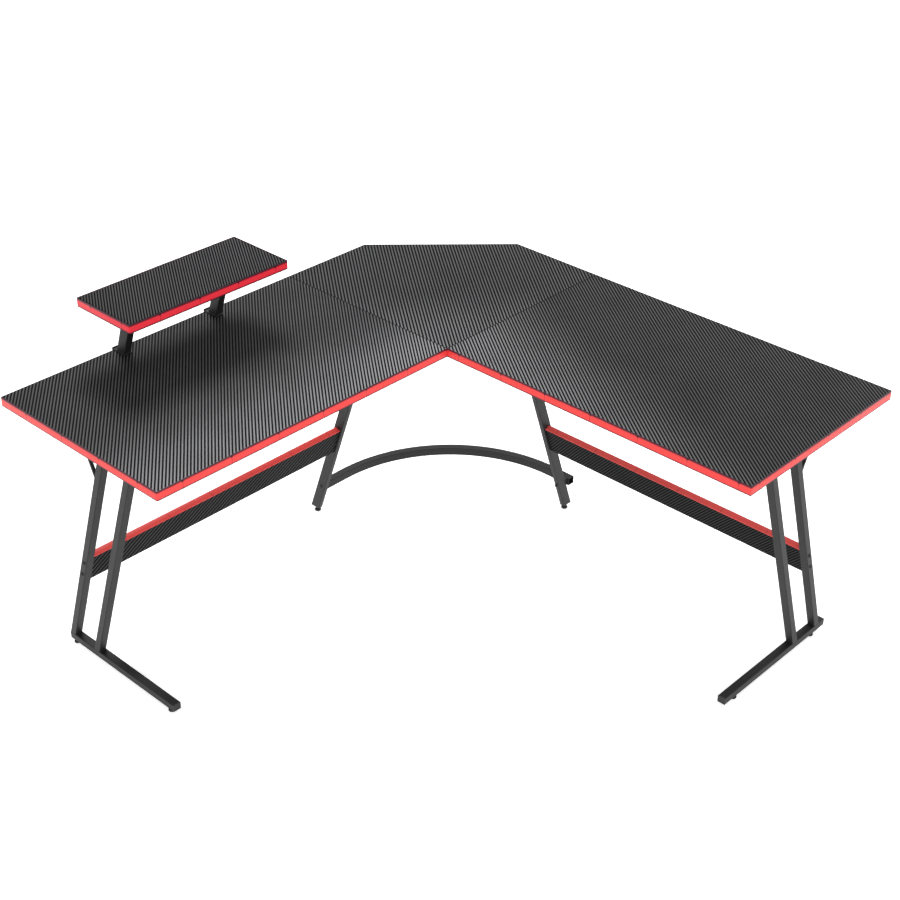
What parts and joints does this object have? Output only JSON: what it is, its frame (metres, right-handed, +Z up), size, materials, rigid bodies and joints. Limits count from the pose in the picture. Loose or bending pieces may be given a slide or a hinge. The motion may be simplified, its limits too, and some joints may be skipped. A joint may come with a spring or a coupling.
{
  "type": "corner desk",
  "caption": "L-shaped corner desk with ribbed dark laminate boards, bright edge banding, leaning tube legs on levelling feet, a low bowed brace and a raised monitor shelf",
  "frame": {"origin": "on the floor under the middle of the footprint, which the shelf stand's hooks widen by 3 mm at the left wing's wall side", "axes": "Z up from the floor; +Y towards the wall behind the right wing, +X towards the right wing's free end; the left wing runs along -Y with its wall side at -X, and the user sits in the open quarter at +X and -Y"},
  "size_m": [1.476, 1.473, 0.907],
  "materials": {
    "laminate": "black foil laminate with coarse diagonal ribs and a fine woven pattern, satin",
    "edge_band": "bright red plastic edge banding, satin",
    "frame": "black powder coat, fine texture",
    "plastic": "moulded black plastic",
    "steel": "zinc plated",
    "black_screws": "black oxide, oiled",
    "insert": "plain turned brass",
    "dowel": "plain beech"
  },
  "bodies": {
    "desk": {"left_wing_panel": "laminate", "right_wing_panel": "laminate", "corner_panel": "laminate", "left_wing_band": "edge_band", "right_wing_band": "edge_band", "corner_band": "edge_band", "seam_dowels": "dowel", "seam_plates": "steel", "seam_screws": "steel", "left_floor_bar": "frame", "right_floor_bar": "frame", "left_bar_caps": "plastic", "right_bar_caps": "plastic", "left_rear_upright": "frame", "left_front_upright": "frame", "right_rear_upright": "frame", "right_front_upright": "frame", "left_top_bar": "frame", "right_top_bar": "frame", "top_bar_caps": "plastic", "left_knee_brace": "frame", "right_knee_brace": "frame", "frame_bolts": "steel", "panel_inserts": "insert", "foot_nuts": "steel", "left_mid_leg": "frame", "right_mid_leg": "frame", "left_mid_plate": "frame", "right_mid_plate": "frame", "mid_plate_screws": "steel", "left_mid_plug": "plastic", "right_mid_plug": "plastic", "arch_brace": "frame", "arch_end_plug": "plastic", "arch_saddle": "plastic", "arch_bolts": "black_screws", "arch_nut": "black_screws", "left_stretcher": "laminate", "right_stretcher": "laminate", "left_stretcher_band": "edge_band", "right_stretcher_band": "edge_band", "stretcher_bolts": "black_screws", "barrel_nuts": "steel", "shelf_panel": "laminate", "shelf_band": "edge_band", "stand_arm_outer": "frame", "stand_arm_inner": "frame", "stand_hook_outer": "frame", "stand_hook_inner": "frame", "stand_top_plates": "frame", "stand_screws": "steel"},
    "foot_left_rear_body": {"foot_left_rear": "plastic"},
    "foot_left_front_body": {"foot_left_front": "plastic"},
    "foot_right_rear_body": {"foot_right_rear": "plastic"},
    "foot_right_front_body": {"foot_right_front": "plastic"},
    "foot_mid_left_body": {"foot_mid_left": "plastic"},
    "foot_mid_right_body": {"foot_mid_right": "plastic"}
  },
  "joints": [
    {"name": "foot_left_rear_screw", "type": "slide", "parent": "desk", "child": "foot_left_rear_body", "axis": [0, 0, -1], "range_m": [0, 0.008]},
    {"name": "foot_left_front_screw", "type": "slide", "parent": "desk", "child": "foot_left_front_body", "axis": [0, 0, -1], "range_m": [0, 0.008]},
    {"name": "foot_right_rear_screw", "type": "slide", "parent": "desk", "child": "foot_right_rear_body", "axis": [0, 0, -1], "range_m": [0, 0.008]},
    {"name": "foot_right_front_screw", "type": "slide", "parent": "desk", "child": "foot_right_front_body", "axis": [0, 0, -1], "range_m": [0, 0.008]},
    {"name": "foot_mid_left_screw", "type": "slide", "parent": "desk", "child": "foot_mid_left_body", "axis": [0, 0, -1], "range_m": [0, 0.008]},
    {"name": "foot_mid_right_screw", "type": "slide", "parent": "desk", "child": "foot_mid_right_body", "axis": [0, 0, -1], "range_m": [0, 0.008]}
  ]
}
